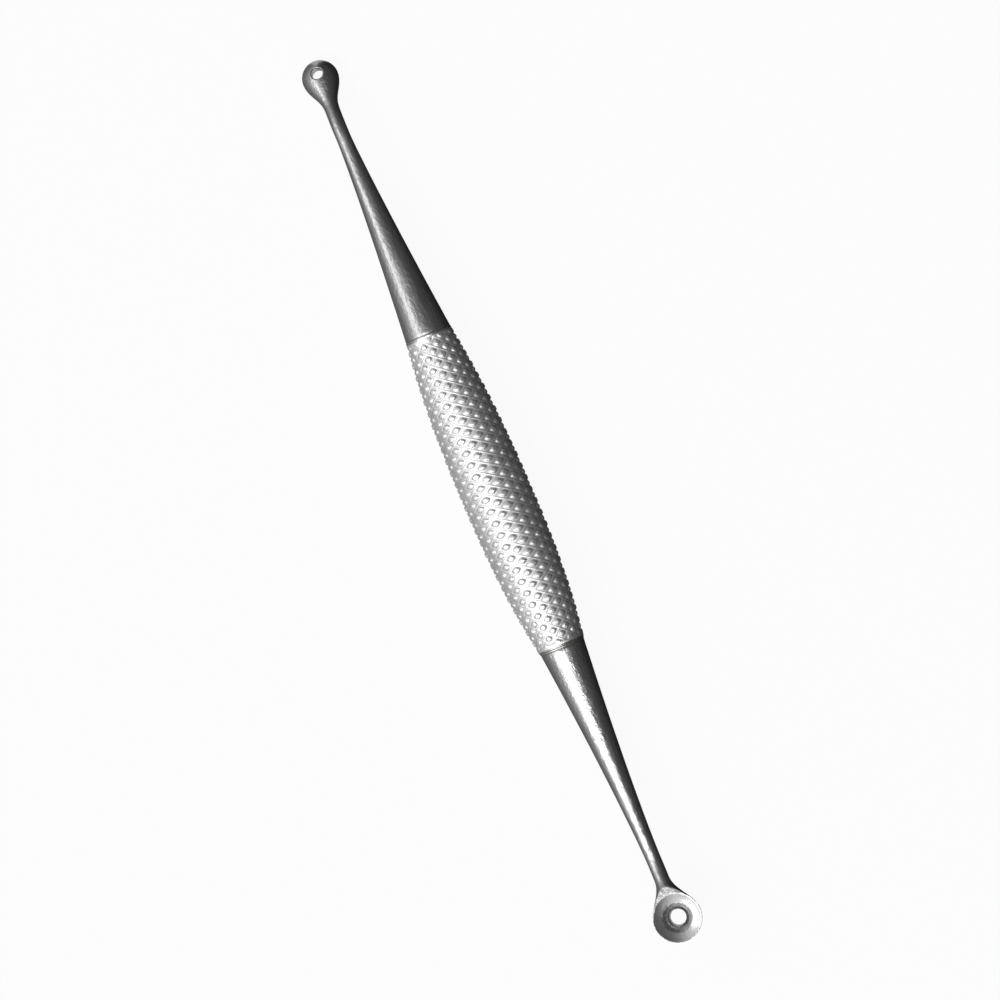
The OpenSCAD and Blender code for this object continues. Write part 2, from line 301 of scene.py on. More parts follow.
def broken_edge(x, radius, inward, size, steps=3):
    """Stations round a broken edge. inward is +1 where the end face looks to -X."""
    stations = []
    for k in range(steps + 1):
        turn = math.pi / 2 * k / steps
        stations.append((
            x + inward * size * (1 - math.sin(turn)),
            radius - size * (1 - math.cos(turn)),
        ))
    return stations


def small_end_stations():
    """The small collar, its broken edge, the end face and the bore."""
    end_r = float(outline_r(np.array([EDGE_BREAK]))[0])
    just_inside = 1.2 * EDGE_BREAK
    stations = [(just_inside, end_r)] + broken_edge(0, end_r, 1, EDGE_BREAK)
    return stations + [(0, BORE_R), (BORE_L, BORE_R)]


def large_end_stations(cut_x):
    """The large collar from the cut on, its broken edge, the end face and the bore."""
    collar_x = np.linspace(cut_x, SLEEVE_L - EDGE_BREAK, COLLAR_STATIONS)[1:]
    stations = [(float(x), float(outline_r(x))) for x in collar_x]
    stations += broken_edge(SLEEVE_L, stations[-1][1], -1, EDGE_BREAK)[1:]
    return stations + [(SLEEVE_L, BORE_R), (SLEEVE_L - BORE_L, BORE_R)]


print(f"{len(small_end_stations())} stations close the small end of the grip")

# %% The grip
# The flat sheet holds an angle as a length: this much for a radian
SHEET_RADIAN = 1 * MM


def wrap_round(bm):
    """Rolls the flat sheet into the barrel with its studs raised, and welds the cells."""
    flat = np.array([v.co[:2] for v in bm.verts])
    x, a = flat[:, 0], flat[:, 1] / SHEET_RADIAN
    radius = outline_r(x) - STUD_H * (1 - stud_height(x, a))
    for vert, px, pa, pr in zip(bm.verts, x, a, radius):
        vert.co = (px, pr * math.cos(pa), pr * math.sin(pa))
    bmesh.ops.remove_doubles(bm, verts=bm.verts, dist=WELD_DISTANCE)
    bmesh.ops.dissolve_degenerate(bm, edges=bm.edges, dist=SLIVER)


def build_grip():
    bm = bmesh.new()
    for x, a in flat_verts:
        bm.verts.new((x, a * SHEET_RADIAN, 0))
    bm.verts.ensure_lookup_table()
    for face in flat_faces:
        bm.faces.new([bm.verts[v] for v in face])
    small_cut = knurl_x - RUN_OUT
    large_cut = knurl_x + knurl_l + RUN_OUT
    cut_off(bm, (small_cut, 0, 0), (-1, 0, 0))
    cut_off(bm, (large_cut, 0, 0), (1, 0, 0))
    wrap_round(bm)
    draw_loop_on(bm, boundary_near(bm, small_cut), small_end_stations())
    draw_loop_on(bm, boundary_near(bm, large_cut), large_end_stations(large_cut))
    return finish_skin(bm, "knurled_grip", Matrix.Translation((SMALL_FACE_X, 0, AXIS_Z)))


knurled_grip = build_grip()
report_skin(knurled_grip)

# %% [markdown]
# The shanks are turned cones with a slightly hollow side, polished along their length. A lathe
# profile of (x, radius) stations swept round the axis gives them, dense enough that a mirror
# finish shows no facets. Each is made towards +X from the grip's end face, and the small one is
# then turned end for end about the vertical.

# %% A lathe
LATHE_STEPS = 160


def lathe_row(bm, x, radius):
    """One ring of vertices about X."""
    turns = [2 * math.pi * k / LATHE_STEPS for k in range(LATHE_STEPS)]
    return [bm.verts.new((x, radius * math.cos(a), radius * math.sin(a))) for a in turns]


def turned_skin(name, profile, place):
    """Sweeps (x, radius) stations about X. The first and last lie on the axis."""
    bm = bmesh.new()
    rings = [lathe_row(bm, x, radius) for x, radius in profile[1:-1]]
    poles = [bm.verts.new((profile[end][0], 0, 0)) for end in (0, -1)]
    for k in range(LATHE_STEPS):
        n = (k + 1) % LATHE_STEPS
        for here, there in zip(rings, rings[1:]):
            bm.faces.new((here[k], here[n], there[n], there[k]))
        bm.faces.new((poles[0], rings[0][n], rings[0][k]))
        bm.faces.new((poles[1], rings[-1][k], rings[-1][n]))
    return finish_skin(bm, name, place)


# %% Which way each end faces
at_large_end = Matrix.Translation((LARGE_FACE_X, 0, AXIS_Z))
at_small_end = Matrix.Translation((SMALL_FACE_X, 0, AXIS_Z)) @ Matrix.Rotation(math.pi, 4, "Y")

# %% The sizes of each end
SPIGOT_D = 3.9 * MM
SPIGOT_L = 6.5 * MM
SPIGOT_CHAMFER = 0.4 * MM

# From the grip out: the ring of braze, the shank and the power of its taper, the head and its
# shoulder, the bend of the neck, how the dish leans, how high the rim lies over the head's
# middle, the flat land inside it, the dish's depth, the hole, and the step of the spoon's net.
small = SimpleNamespace(
    name="small", place=at_small_end,
    ring_t=0.45 * MM, shank_l=31 * MM, shank_d=7.0 * MM, neck_d=2.2 * MM, taper=1.26,
    head_d=5.44 * MM, shoulder_l=6.2 * MM, shoulder_curve=3.4, bend=math.radians(25),
    bend_r=10 * MM, dish_lean=math.radians(8), rim_h=0.6 * MM, land=0.05 * MM,
    dish_h=0.7 * MM, hole_d=1.7 * MM, step=0.055 * MM,
)
large = SimpleNamespace(
    name="large", place=at_large_end,
    ring_t=0.6 * MM, shank_l=33.7 * MM, shank_d=6.8 * MM, neck_d=2.24 * MM, taper=1.42,
    head_d=7.24 * MM, shoulder_l=6.45 * MM, shoulder_curve=2.6, bend=math.radians(14),
    bend_r=12 * MM, dish_lean=math.radians(12), rim_h=0.4 * MM, land=0.05 * MM,
    dish_h=0.95 * MM, hole_d=2.4 * MM, step=0.065 * MM,
)
for end in (small, large):
    print(f"{end.name} end: shank {end.shank_l / MM:.1f} mm, spoon {end.head_d / MM:.2f} mm")

# %% The shanks
SHANK_STATIONS = 70


def build_shank(end):
    start = end.ring_t
    profile = [(-SPIGOT_L, 0), (-SPIGOT_L, SPIGOT_D / 2 - SPIGOT_CHAMFER)]
    profile += [(SPIGOT_CHAMFER - SPIGOT_L, SPIGOT_D / 2), (start, SPIGOT_D / 2)]
    profile += broken_edge(start, end.shank_d / 2, 1, EDGE_BREAK)[::-1]
    for k in range(1, SHANK_STATIONS + 1):
        left = (end.shank_l - EDGE_BREAK) * (1 - k / SHANK_STATIONS)
        swell = (end.shank_d - end.neck_d) / 2 * (left / end.shank_l) ** end.taper
        profile.append((start + end.shank_l - left, end.neck_d / 2 + swell))
    profile.append((start + end.shank_l, 0))
    return turned_skin(f"{end.name}_polished_shank", profile, end.place)


shanks = {end.name: build_shank(end) for end in (small, large)}
for piece in shanks.values():
    report_skin(piece)

# %% [markdown]
# Where a shank meets the grip, braze was drawn into the joint and left a thin bead, which shows
# as fine bright and dark lines round the tool. A bead is a row of small round humps, so its
# profile is a wave between the two diameters that it joins.

# %% The rings of braze
BEAD_STATIONS = 24
BEAD_H = 0.07 * MM
BEAD_SINK = 0.05 * MM


def bead_profile(end, beads):
    """(x, radius) stations from the bore, up and over the humps, and back to the bore."""
    profile = [(0, BORE_R)]
    for k in range(BEAD_STATIONS + 1):
        share = k / BEAD_STATIONS
        foot = (SLEEVE_END_D + (end.shank_d - SLEEVE_END_D) * share) / 2 - BEAD_SINK
        profile.append((end.ring_t * share, foot + BEAD_H * abs(math.sin(math.pi * beads * share))))
    return profile + [(end.ring_t, BORE_R)]


def ring_skin(end, beads):
    """A closed ring: the lathe sweeps the profile, and its last station joins its first."""
    bm = bmesh.new()
    rows = [lathe_row(bm, x, radius) for x, radius in bead_profile(end, beads)]
    for here, there in zip(rows, rows[1:] + rows[:1]):
        for k in range(LATHE_STEPS):
            n = (k + 1) % LATHE_STEPS
            bm.faces.new((here[k], here[n], there[n], there[k]))
    return finish_skin(bm, f"{end.name}_end_braze_bead", end.place)


braze_beads = {"small": ring_skin(small, beads=1), "large": ring_skin(large, beads=2)}
for piece in braze_beads.values():
    report_skin(piece)

# %% [markdown]
# A spoon is forged on the end of its neck, then dished, drilled and polished, so nothing on it
# is sharp: the rim is a thin rounded edge, a soft funnel leads from the dish into the hole, and
# the hole's lip at the back is rounded too. Cutting meshes with one another leaves hard, ragged
# edges. Here the spoon is written as a distance formula instead: below zero in the steel and
# above zero outside. Cuts are then a maximum of two formulas, and a smooth maximum rounds the
# edge by a stated radius. A mesh is drawn on the zero of the formula.

# %% Formulas for the spoon
RIM_ROUND = 0.07 * MM
# How far out from the hole its funnel reaches into the dish
FUNNEL_W = 0.7 * MM
FUNNEL_ROUND = 0.5 * MM
BACK_LIP_ROUND = 0.25 * MM


def soft_max(a, b, size):
    """The larger of two distances, with the edge between them rounded."""
    blend = np.maximum(size - np.abs(a - b), 0)
    return np.maximum(a, b) + blend * blend / (4 * size)


def head_radius(end, x):
    """Radius and slope of the shoulder, x metres from the neck's end."""
    u = np.clip(1 - x / end.shoulder_l, 0, 1)
    swell = (end.head_d - end.neck_d) / 2
    radius = end.neck_d / 2 + swell * (1 - u * u) ** end.shoulder_curve
    slope = swell * end.shoulder_curve * (1 - u * u) ** (end.shoulder_curve - 1) * 2 * u
    return radius, slope / end.shoulder_l


def blank_distance(end, x, y, z):
    """The forged blank: a bent round neck, the shoulder and the ball."""
    radius, slope = head_radius(end, x)
    shoulder = (np.hypot(y, z) - radius) / np.sqrt(1 + slope * slope)
    ball = np.sqrt((x - end.shoulder_l) ** 2 + y * y + z * z) - end.head_d / 2
    bend = np.hypot(np.hypot(x, z - end.bend_r) - end.bend_r, y) - end.neck_d / 2
    return np.where(x < 0, bend, np.where(x < end.shoulder_l, shoulder, ball))


def about_dish(end, points):
    """Distance up from the middle of the head and out from the hole's axis, as the dish leans."""
    x, y, z = points[..., 0] - end.shoulder_l, points[..., 1], points[..., 2]
    along = x * math.cos(end.dish_lean) - z * math.sin(end.dish_lean)
    up = x * math.sin(end.dish_lean) + z * math.cos(end.dish_lean)
    return up, np.hypot(along, y)


def dish_distance(end, up, out):
    mouth_r = math.sqrt((end.head_d / 2) ** 2 - end.rim_h**2) - end.land
    ball_r = (mouth_r**2 + end.dish_h**2) / (2 * end.dish_h)
    ball_z = end.rim_h - end.dish_h + ball_r
    return ball_r - np.hypot(out, up - ball_z)


def spoon_distance(end, points):
    """The blank, cut off flat at the rim, with the dish, funnel and hole taken out of it."""
    x, y, z = points[..., 0], points[..., 1], points[..., 2]
    up, out = about_dish(end, points)
    body = soft_max(blank_distance(end, x, y, z), up - end.rim_h, RIM_ROUND)
    dish = dish_distance(end, up, out)
    hole = end.hole_d / 2 - out
    body = soft_max(soft_max(body, dish, RIM_ROUND), hole, BACK_LIP_ROUND)
    return soft_max(body, (dish + hole + FUNNEL_W) / math.sqrt(2), FUNNEL_ROUND)


# %% [markdown]
# The mesh is drawn with a surface net: space is cut into small cubes, each cube that the surface
# crosses gets one vertex, and neighbours are joined into four-sided faces. The vertices are then
# slid to even spacing and put back on the exact surface by following the formula's slope, which
# leaves a skin smooth enough for a mirror polish.

# %% The net's vertices
CORNERS = [(i, j, k) for i in (0, 1) for j in (0, 1) for k in (0, 1)]


def net_vertices(value):
    """One place, in steps, for each cube that the surface crosses, and the cubes' numbers."""
    inside = value < 0
    cells = tuple(n - 1 for n in value.shape)
    total, number = np.zeros(cells + (3,)), np.zeros(cells)
    for axis in range(3):
        for corner in CORNERS:
            if corner[axis]:
                continue
            here = tuple(slice(c, c + n) for c, n in zip(corner, cells))
            there = tuple(
                slice(c + (d == axis), c + (d == axis) + n)
                for d, (c, n) in enumerate(zip(corner, cells))
            )
            crossed = inside[here] != inside[there]
            span = np.where(crossed, value[there] - value[here], 1)
            share = np.where(crossed, -value[here] / span, 0)
            offset = np.array(corner, float)[None, None, None, :] * np.ones(cells + (1,))
            offset[..., axis] += share
            total += offset * crossed[..., None]
            number += crossed
    used = number > 0
    index = np.full(cells, -1)
    index[used] = np.arange(used.sum())
    origin = np.stack(np.nonzero(used), -1)
    return origin + total[used] / number[used][:, None], index


# %% The net's faces
def net_faces(inside, index):
    """A four-sided face for each edge of the grid that the surface crosses, seen from outside."""
    faces = []
    for axis in range(3):
        b, c = [d for d in range(3) if d != axis]
        if axis == 1:
            b, c = c, b
        crop = [slice(1, -1)] * 3
        crop[axis] = slice(0, -1)
        ahead = list(crop)
        ahead[axis] = slice(1, None)
        now, then = inside[tuple(crop)], inside[tuple(ahead)]
        spots = np.stack(np.nonzero(now != then), -1)
        outward = now[tuple(spots.T)]
        spots = spots + np.array([0 if d == axis else 1 for d in range(3)])
        ring = []
        for db, dc in ((1, 1), (0, 1), (0, 0), (1, 0)):
            shifted = spots.copy()
            shifted[:, b] -= db
            shifted[:, c] -= dc
            ring.append(index[tuple(shifted.T)])
        ring = np.stack(ring, -1)
        ring[~outward] = ring[~outward][:, ::-1]
        faces.append(ring)
    return np.concatenate(faces)


def surface_net(distance, low, high, step):
    """Vertices and faces on the zero of a distance formula, in a box of cubes."""
    counts = [int(math.ceil((top - base) / step)) + 1 for base, top in zip(low, high)]
    axes = [base + step * np.arange(count) for base, count in zip(low, counts)]
    value = distance(np.stack(np.meshgrid(*axes, indexing="ij"), -1))
    places, index = net_vertices(value)
    return np.array(low) + step * places, net_faces(value < 0, index)


# %% Putting the vertices on the exact surface
SLOPE_STEP = 0.002 * MM
LEAST_SLOPE = 0.5
EVEN_PASSES = 6
EVEN_SHARE = 0.6
LAST_PASSES = 3


def settle(distance, verts, passes):
    """Steps each vertex down or up the formula's slope until its distance is zero."""
    for _ in range(passes):
        value = distance(verts)
        slope = np.empty_like(verts)
        for d in range(3):
            nudge = np.zeros(3)
            nudge[d] = SLOPE_STEP
            slope[:, d] = (distance(verts + nudge) - distance(verts - nudge)) / (2 * SLOPE_STEP)
        squared = np.maximum((slope * slope).sum(1), LEAST_SLOPE**2)
        verts = verts - (value / squared)[:, None] * slope
    return verts


def even_out(distance, verts, faces):
    """Slides each vertex towards the middle of its neighbours, and back onto the surface."""
    pairs = np.concatenate([faces[:, [0, 1]], faces[:, [1, 2]], faces[:, [2, 3]], faces[:, [3, 0]]])
    pairs = np.concatenate([pairs, pairs[:, ::-1]])
    number = np.bincount(pairs[:, 0], minlength=len(verts))[:, None]
    for _ in range(EVEN_PASSES):
        total = np.stack([
            np.bincount(pairs[:, 0], weights=verts[pairs[:, 1], d], minlength=len(verts))
            for d in range(3)
        ], 1)
        verts = verts + EVEN_SHARE * (total / number - verts)
        verts = settle(distance, verts, 1)
    return settle(distance, verts, LAST_PASSES)


# %% The spoons
MARGIN = 0.3 * MM
NECK_MARGIN = 4 * MARGIN
# A vertex this near to the dish's surface belongs to the dish, less the further off it is
DISH_MARK = 0.06 * MM


def build_spoon(end):
    reach = end.head_d / 2
    neck_run = end.bend_r * math.sin(end.bend)
    rise = end.bend_r * (1 - math.cos(end.bend))
    low = (-neck_run - NECK_MARGIN, -reach - MARGIN, -reach - MARGIN)
    high = (end.shoulder_l + reach + MARGIN, reach + MARGIN, reach + MARGIN + rise)

    def distance(points):
        return spoon_distance(end, points)

    verts, faces = surface_net(distance, low, high, end.step)
    verts = even_out(distance, verts, faces)
    mesh = bpy.data.meshes.new(end.name)
    mesh.from_pydata(verts.tolist(), [], faces.tolist())
    bm = bmesh.new()
    bm.from_mesh(mesh)
    bpy.data.meshes.remove(mesh)
    weld = Vector((-neck_run, 0, rise))
    towards_shank = Vector((-math.cos(end.bend), 0, math.sin(end.bend)))
    cut_off(bm, weld, towards_shank)
    bmesh.ops.contextual_create(bm, geom=[e for e in bm.edges if e.is_boundary])
    in_dish = bm.verts.layers.float.new("in_dish")
    up, out = about_dish(end, np.array([v.co[:] for v in bm.verts]))
    depth = np.abs(dish_distance(end, up, out))
    for vert, share in zip(bm.verts, 1 - smooth_step(depth / DISH_MARK)):
        vert[in_dish] = share
    turn_up = Matrix.Translation((neck_run, 0, rise)) @ Matrix.Rotation(-end.bend, 4, "Y")
    from_weld = Matrix.Translation((end.ring_t + end.shank_l, 0, 0)) @ turn_up
    return finish_skin(bm, f"{end.name}_pierced_spoon", end.place @ from_weld)


spoons = {end.name: build_spoon(end) for end in (small, large)}
for piece in spoons.values():
    report_skin(piece)

# %% [markdown]
# Node trees are easier to read as sums. A small class wraps one output socket, and Python's
# operators add the Math nodes. Every other node goes in through one method, settings first.

# %% Sockets as numbers
class Wire:
    """One output of a node. Arithmetic on it adds Math nodes."""

    def __init__(self, tree, socket):
        self.tree = tree
        self.socket = socket

    def __add__(self, other):
        return self.tree.maths("ADD", self, other)

    def __radd__(self, other):
        return self.tree.maths("ADD", other, self)

    def __sub__(self, other):
        return self.tree.maths("SUBTRACT", self, other)

    def __rsub__(self, other):
        return self.tree.maths("SUBTRACT", other, self)

    def __mul__(self, other):
        return self.tree.maths("MULTIPLY", self, other)

    def __rmul__(self, other):
        return self.tree.maths("MULTIPLY", other, self)


class Tree:
    """A node tree, and the one way that nodes get into it."""

    def __init__(self, owner):
        owner.use_nodes = True
        self.nodes = owner.node_tree.nodes
        self.links = owner.node_tree.links
        self.nodes.clear()

    def add(self, kind, settings=None, sockets=None, out=0):
        """Adds a node, sets it up, then its sockets. out names or numbers the output wanted."""
        node = self.nodes.new(kind)
        for key, value in (settings or {}).items():
            if key == "stops":
                self.set_stops(node.color_ramp, value)
            else:
                setattr(node, key, value)
        for key, value in (sockets or {}).items():
            if isinstance(value, Wire):
                self.links.new(value.socket, node.inputs[key])
            else:
                node.inputs[key].default_value = value
        return Wire(self, node.outputs[out]) if node.outputs else node

    def maths(self, operation, first, second=0.0):
        return self.add("ShaderNodeMath", {"operation": operation}, {0: first, 1: second})

    def set_stops(self, ramp, stops):
        for stop in stops[2:]:
            ramp.elements.new(stop[0])
        for element, (position, grey) in zip(ramp.elements, stops):
            element.position = position
            element.color = (grey, grey, grey, 1)

    def noise(self, coords, stretch, detail=2.0, roughness=0.5):
        """Noise from 0 to 1. stretch is how many features fit in a metre along X, Y and Z."""
        placed = self.add("ShaderNodeMapping", None, {"Vector": coords, "Scale": stretch})
        sockets = {"Vector": placed, "Scale": 1.0, "Detail": detail, "Roughness": roughness}
        return self.add("ShaderNodeTexNoise", {"noise_dimensions": "3D"}, sockets)

    def between(self, value, low, high):
        """0 below low, 1 above high, and an even slope from one to the other."""
        sockets = {"Value": value, "From Min": low, "From Max": high}
        return self.add("ShaderNodeMapRange", {"clamp": True}, sockets)

    def blend(self, factor, first, second):
        sockets = {"Factor": factor, 6: first, 7: second}
        return self.add("ShaderNodeMix", {"data_type": "RGBA"}, sockets, out=2)


def report_material(material):
    """Prints how many nodes a finish took."""
    print(f"{material.name}: {len(material.node_tree.nodes)} nodes")

# %% [markdown]
# Polished stainless steel is a mirror that is not quite one. The buffing wheel leaves hair-fine
# lines along the shank, the surface waves very slightly under them, and handling leaves duller
# patches. So: a metal whose roughness wanders a little, with a very low bump for the lines and
# the waves. The dishes are polished further, so they are smoother. Their lighter colour is partly
# that polish and partly a painted highlight, for the light that the hollow dish throws back onto
# itself. Their vertices carry a mark that the shader reads. Bump depths are real ones, in
# millimetres.

# %% Polished steel
EDGE_TINT = (0.5, 0.5, 0.5, 1)
DARK_SATIN = (0.42, 0.425, 0.43, 1)
LIGHT_SATIN = (0.56, 0.56, 0.555, 1)
# Partly the dish's finer polish, partly a painted highlight for light thrown back inside the hollow
# dish
DISH_POLISH_AND_PAINTED_HIGHLIGHT = (0.84, 0.84, 0.835, 1)
# Features in a metre along X, Y and Z
BUFFING_LINES = (900, 6000, 6000)
WAVES = (1500, 2300, 2300)
DULL_PATCHES = (150, 300, 300)
HAIRLINES = (90, 5200, 5200)
# Where the noise counts as a hairline, and as a patch
HAIR_RANGE = (0.66, 0.7)
PATCH_RANGE = (0.35, 0.7)
# What the lines and the hairlines add to the waves' relief, and how much of it a dish loses
LINE_RELIEF = 0.14
HAIR_RELIEF = 0.05
DISH_CALM = 0.8
RELIEF_DEPTH = 0.07 * MM
STEEL_ROUGHNESS = 0.28
PATCH_ROUGHNESS = 0.08
LINE_ROUGHNESS = 0.06


def polished_steel():
    material = bpy.data.materials.new("polished_steel")
    tree = Tree(material)
    place = tree.add("ShaderNodeTexCoord", out="Object")
    dish = tree.add("ShaderNodeAttribute", {"attribute_name": "in_dish"}, out="Fac")
    lines = tree.noise(place, BUFFING_LINES, detail=4.0, roughness=0.6)
    waves = tree.noise(place, WAVES, detail=1.0)
    patches = tree.noise(place, DULL_PATCHES, detail=3.0, roughness=0.6)
    hairs = tree.between(tree.noise(place, HAIRLINES, detail=1.0), *HAIR_RANGE)
    relief = lines * LINE_RELIEF + waves * (1 - LINE_RELIEF) - hairs * HAIR_RELIEF
    bump = tree.add("ShaderNodeBump", None, {
        "Strength": 1.0, "Distance": RELIEF_DEPTH, "Height": relief * (1 - dish * DISH_CALM),
    })
    satin = tree.blend(patches, DARK_SATIN, LIGHT_SATIN)
    # The dishes are painted lighter: partly their finer polish, partly a painted highlight
    colour = tree.blend(dish, satin, DISH_POLISH_AND_PAINTED_HIGHLIGHT)
    roughness = STEEL_ROUGHNESS + tree.between(patches, *PATCH_RANGE) * PATCH_ROUGHNESS
    roughness = roughness + lines * LINE_ROUGHNESS - dish * LINE_ROUGHNESS
    shader = tree.add("ShaderNodeBsdfPrincipled", None, {
        "Base Color": colour, "Metallic": 1.0, "Roughness": roughness,
        "Specular Tint": EDGE_TINT, "Normal": bump,
    })
    tree.add("ShaderNodeOutputMaterial", None, {"Surface": shader})
    return material


steel = polished_steel()
report_material(steel)

# %% [markdown]
# The knurled grip is the same steel, but rolling and tumbling leave it paler and more satin than
# the shanks. The floor between the studs is never reached by the buffing wheel, so it is duller.
# Its darker colour there is painted shade, and the lighter stud tops are a painted highlight.
# The mesh carries each point's height above the floor, and the shader reads it.

# %% Knurled steel
# The floor greys carry painted shade between the studs, and the top grey a painted highlight
DARK_FLOOR_PAINTED_SHADE = (0.72, 0.725, 0.73, 1)
LIGHT_FLOOR_PAINTED_SHADE = (0.88, 0.88, 0.875, 1)
STUD_TOP_PAINTED_HIGHLIGHT = (0.97, 0.97, 0.965, 1)
GRAIN = (5200, 5200, 5200)
KNURL_PATCHES = (260, 260, 260)
KNURL_PATCH_RANGE = (0.3, 0.7)
GRAIN_DEPTH = 0.006 * MM
FLOOR_ROUGHNESS = 0.54
TOP_POLISH = 0.1
KNURL_PATCH_ROUGHNESS = 0.05


def knurled_steel():
    material = bpy.data.materials.new("knurled_steel")
    tree = Tree(material)
    place = tree.add("ShaderNodeTexCoord", out="Object")
    height = tree.add("ShaderNodeAttribute", {"attribute_name": "stud_height"}, out="Fac")
    grain = tree.noise(place, GRAIN, detail=4.0, roughness=0.65)
    patches = tree.noise(place, KNURL_PATCHES, detail=3.0, roughness=0.6)
    bump = tree.add("ShaderNodeBump", None, {
        "Strength": 1.0, "Distance": GRAIN_DEPTH, "Height": grain,
    })
    floor = tree.blend(patches, DARK_FLOOR_PAINTED_SHADE, LIGHT_FLOOR_PAINTED_SHADE)
    # Painted shade on the floor between the studs and a painted highlight on their tops
    colour = tree.blend(height, floor, STUD_TOP_PAINTED_HIGHLIGHT)
    dull = tree.between(patches, *KNURL_PATCH_RANGE)
    roughness = FLOOR_ROUGHNESS - height * TOP_POLISH + dull * KNURL_PATCH_ROUGHNESS
    shader = tree.add("ShaderNodeBsdfPrincipled", None, {
        "Base Color": colour, "Metallic": 1.0, "Roughness": roughness,
        "Normal": bump,
    })
    tree.add("ShaderNodeOutputMaterial", None, {"Surface": shader})
    return material


def store_stud_height(piece):
    """Keeps each vertex's height above the knurl's floor with the mesh, for its material."""
    co = np.empty(len(piece.data.vertices) * 3)
    piece.data.vertices.foreach_get("co", co)
    co = co.reshape(-1, 3) - np.array([SMALL_FACE_X, 0, AXIS_Z])
    radius = np.hypot(co[:, 1], co[:, 2])
    height = 1 - (outline_r(np.clip(co[:, 0], 0, SLEEVE_L)) - radius) / STUD_H
    attribute = piece.data.attributes.new("stud_height", "FLOAT", "POINT")
    attribute.data.foreach_set("value", np.clip(height, 0, 1))


store_stud_height(knurled_grip)
knurl_steel = knurled_steel()
report_material(knurl_steel)

# %% [markdown]
# Silver braze is a little warmer than steel and is never buffed as bright: it cools with a skin
# of fine ripples. On so thin a line one noise is enough, and it drives the colour, the roughness
# and a low bump together.

# %% Braze
DARK_BRAZE = (0.60, 0.60, 0.58, 1)
LIGHT_BRAZE = (0.74, 0.735, 0.71, 1)
RIPPLES = (3000, 3000, 3000)
RIPPLE_DEPTH = 0.02 * MM
BRAZE_ROUGHNESS = 0.22
RIPPLE_ROUGHNESS = 0.12


def braze_metal():
    material = bpy.data.materials.new("braze_metal")
    tree = Tree(material)
    place = tree.add("ShaderNodeTexCoord", out="Object")
    ripples = tree.noise(place, RIPPLES, detail=3.0)
    bump = tree.add("ShaderNodeBump", None, {
        "Strength": 1.0, "Distance": RIPPLE_DEPTH, "Height": ripples,
    })
    roughness = BRAZE_ROUGHNESS + ripples * RIPPLE_ROUGHNESS
    shader = tree.add("ShaderNodeBsdfPrincipled", None, {
        "Base Color": tree.blend(ripples, DARK_BRAZE, LIGHT_BRAZE), "Metallic": 1.0,
        "Roughness": roughness, "Specular Tint": EDGE_TINT, "Normal": bump,
    })
    tree.add("ShaderNodeOutputMaterial", None, {"Surface": shader})
    return material


braze = braze_metal()
report_material(braze)

# %% [markdown]
# Nothing on the tool moves, so every piece rides on its one body. Each piece stands for the solid
# of the same part, and takes that part's slot.

# %% Dressing the pieces
def dress(piece, material, node):
    piece.data.materials.clear()
    piece.data.materials.append(material)
    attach(piece, ROOT_BODY)
    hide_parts(node)
    print(f"{piece.name} stands for {node}")


dress(knurled_grip, knurl_steel, "grip_sleeve")
for end in (small, large):
    dress(shanks[end.name], steel, f"{end.name}_shank")
    dress(spoons[end.name], steel, f"{end.name}_spoon")
    dress(braze_beads[end.name], braze, f"{end.name}_end_braze_ring")

# %% [markdown]
# The camera looks straight down on the tool through a long lens, which keeps both ends at the
# same scale. The tool runs from the upper left to the lower right of the picture, 23 degrees off
# the vertical, and is rolled a few degrees about its own axis.

# %% Camera
PHOTO_W = 1000
MM_PER_PX = 0.1464
# The way the tool runs in the picture, as shares of its length
TOOL_RIGHT, TOOL_DOWN = 0.3947, 0.9188
MIDDLE_PX = (499.2, 499.9)
ROLL = math.radians(5)
SENSOR_MM = 36
LENS_MM = 200
CLIP_RATIO = 50


def add_camera():
    across = math.hypot(TOOL_RIGHT, TOOL_DOWN)
    tool = Vector((1, 0, 0))
    towards = Vector((0, math.sin(ROLL), math.cos(ROLL)))
    side = towards.cross(tool)
    right = (tool * TOOL_RIGHT + side * TOOL_DOWN) / across
    up = (side * TOOL_RIGHT - tool * TOOL_DOWN) / across
    far = PHOTO_W * MM_PER_PX * MM / SENSOR_MM * LENS_MM
    px = MM_PER_PX * MM
    aim = Vector((0, 0, AXIS_Z))
    aim -= right * (MIDDLE_PX[0] - PHOTO_W / 2) * px
    aim += up * (MIDDLE_PX[1] - PHOTO_W / 2) * px
    data = bpy.data.cameras.new("camera")
    data.lens = LENS_MM
    data.sensor_width = SENSOR_MM
    data.clip_start = far / CLIP_RATIO
    data.clip_end = far * CLIP_RATIO
    camera = bpy.data.objects.new("camera", data)
    bpy.context.scene.collection.objects.link(camera)
    basis = Matrix((right, up, towards)).transposed().to_4x4()
    camera.matrix_world = Matrix.Translation(aim + towards * far) @ basis
    bpy.context.scene.camera = camera
    print(f"camera {far:.3f} m above the tool")


add_camera()

# %% [markdown]
# The tool lies on a pale floor that the camera sees as white. The photograph was cut out on
# white after it was taken, and the steel still shows what the tool really lay on: something
# dark, darkest to the right. Photographers get the same dark edges with cards. Two wide cards
# lie just above the floor, grey on the left and black on the right, with a narrow strip of the
# white floor open between them under the tool. Only reflections see them.

# %% Floor and cards
FLOOR_HALF = 3.0
CARD_HALF_X = 0.5
CARD_HALF_Y = 0.6
CARD_LIFT = 0.01 * MM
GREY_CARD_Y = -1 * MM
BLACK_CARD_Y = 2.5 * MM
PAPER_GREY = 0.8
WHITE_SHARE = 0.93
GREY_CARD_GREY = 0.25
BLACK_CARD_GREY = 0.04


def flat_sheet(name, low, high, z, material):
    mesh = bpy.data.meshes.new(name)
    turns = ((low[0], low[1]), (high[0], low[1]), (high[0], high[1]), (low[0], high[1]))
    mesh.from_pydata([(x, y, z) for x, y in turns], [], [(0, 1, 2, 3)])
    mesh.materials.append(material)
    return new_object(name, mesh)


